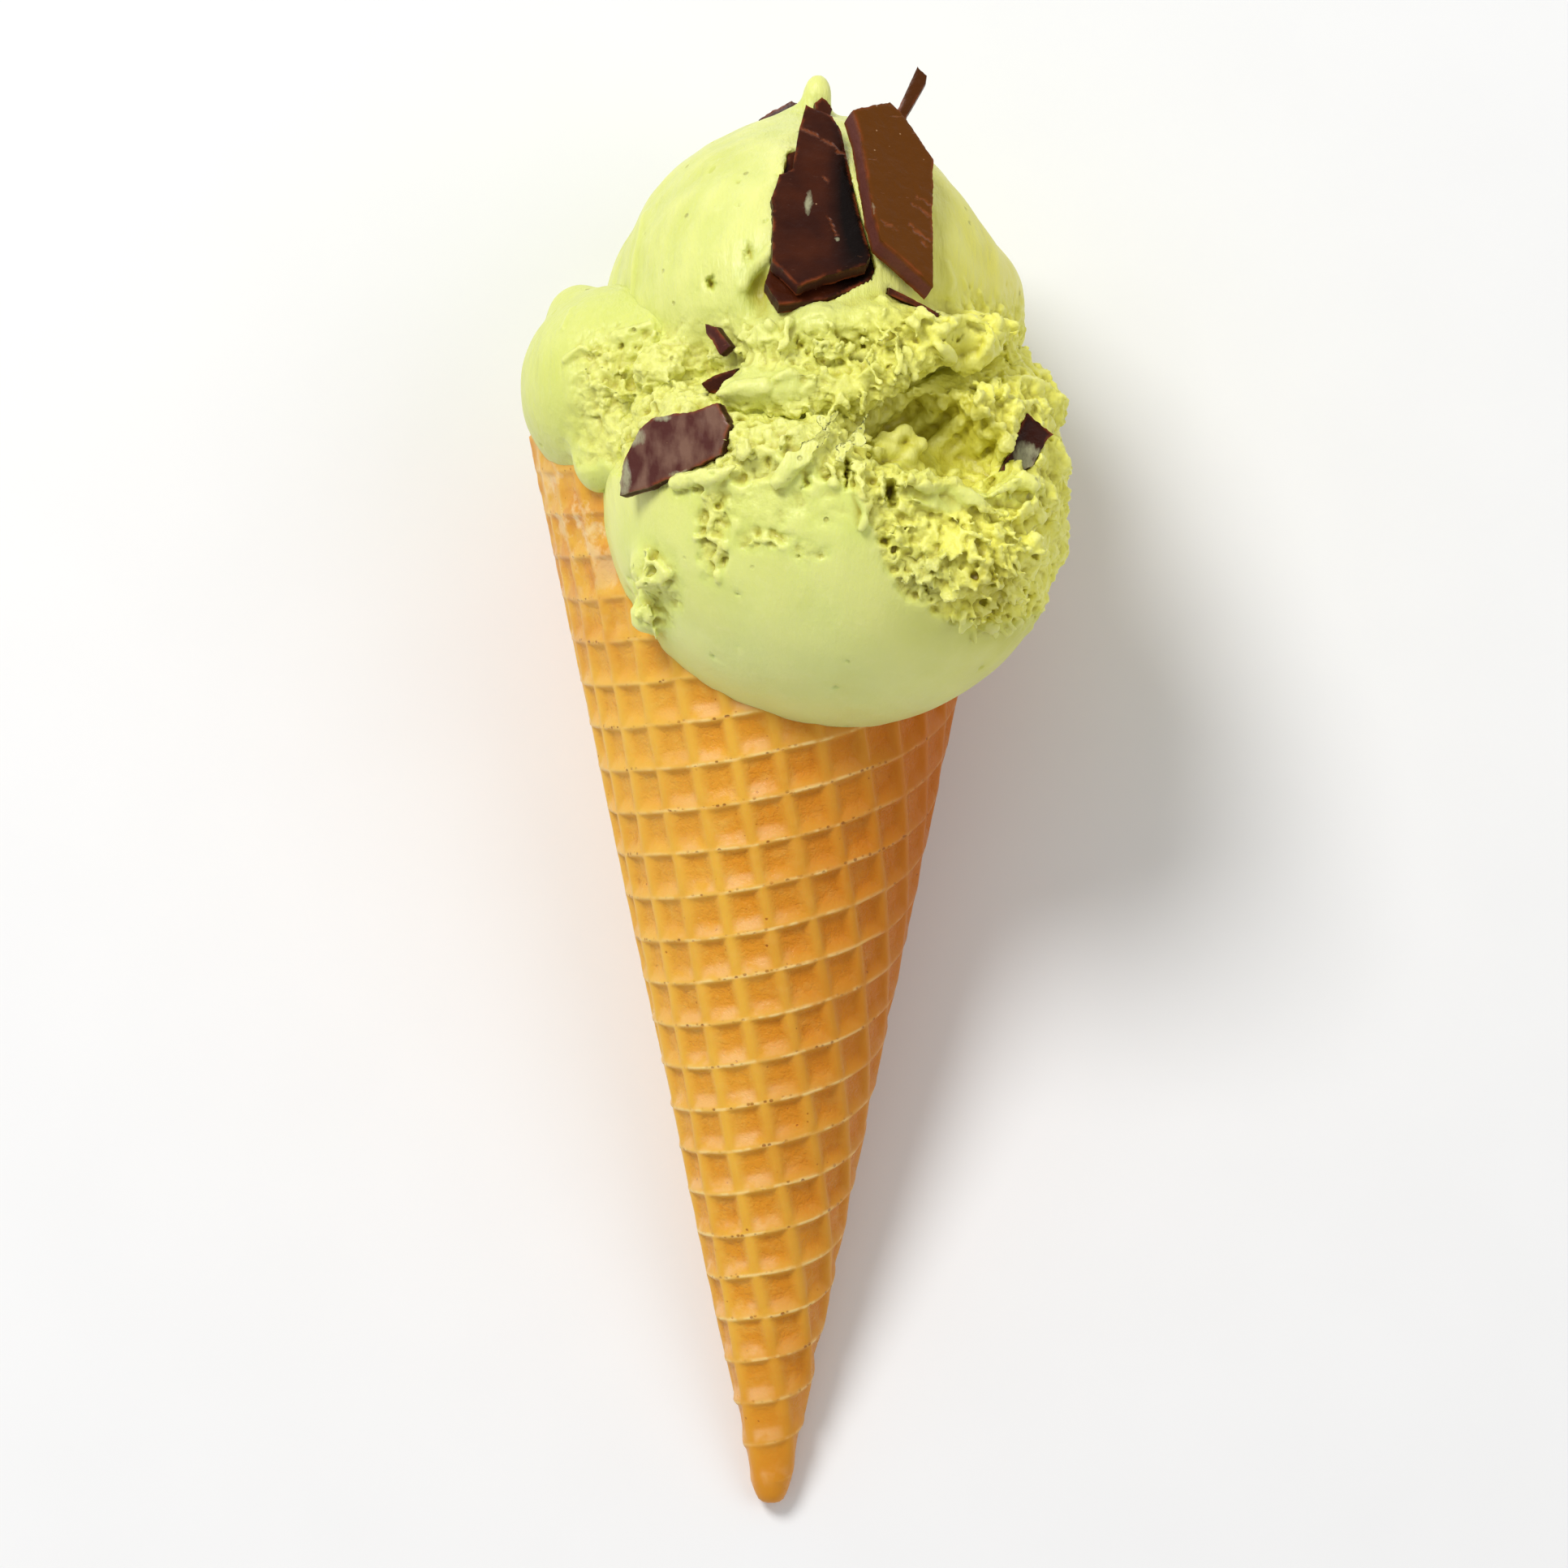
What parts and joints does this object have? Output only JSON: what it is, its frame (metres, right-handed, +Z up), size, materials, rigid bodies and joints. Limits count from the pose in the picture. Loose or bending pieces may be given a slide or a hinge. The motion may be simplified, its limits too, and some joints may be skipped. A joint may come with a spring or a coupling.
{
  "type": "ice cream cone",
  "caption": "Torn scoops of pistachio ice cream with shards of dark chocolate, filling a rolled waffle cone that lies on its back.",
  "frame": {"origin": "middle of the bounding box's bottom, on the surface that the cone lies on", "axes": "+Y along the object from the wafer's tip to the top of the ice cream, +Z up towards the side that the picture shows, +X to the right in the picture"},
  "size_m": [0.0723, 0.1812, 0.0772],
  "materials": {
    "baked_wafer": "baked, lightly glazed",
    "pistachio_ice_cream": "frozen cream, smooth on the bowl and torn above",
    "dark_chocolate": "satin broken chocolate"
  },
  "bodies": {
    "root": {"waffle_cone": "baked_wafer", "scoop_front": "pistachio_ice_cream", "scoop_top": "pistachio_ice_cream", "scoop_left": "pistachio_ice_cream", "chocolate_shard_large": "dark_chocolate", "chocolate_shard_under_large": "dark_chocolate", "chocolate_shard_right": "dark_chocolate", "chocolate_stick": "dark_chocolate", "chocolate_shard_back": "dark_chocolate", "chocolate_chip_peak": "dark_chocolate", "chocolate_shard_notch": "dark_chocolate", "chocolate_shard_under_lobe": "dark_chocolate", "chocolate_shard_left": "dark_chocolate", "chocolate_shard_cavity": "dark_chocolate", "chocolate_shard_edge": "dark_chocolate"}
  },
  "joints": []
}
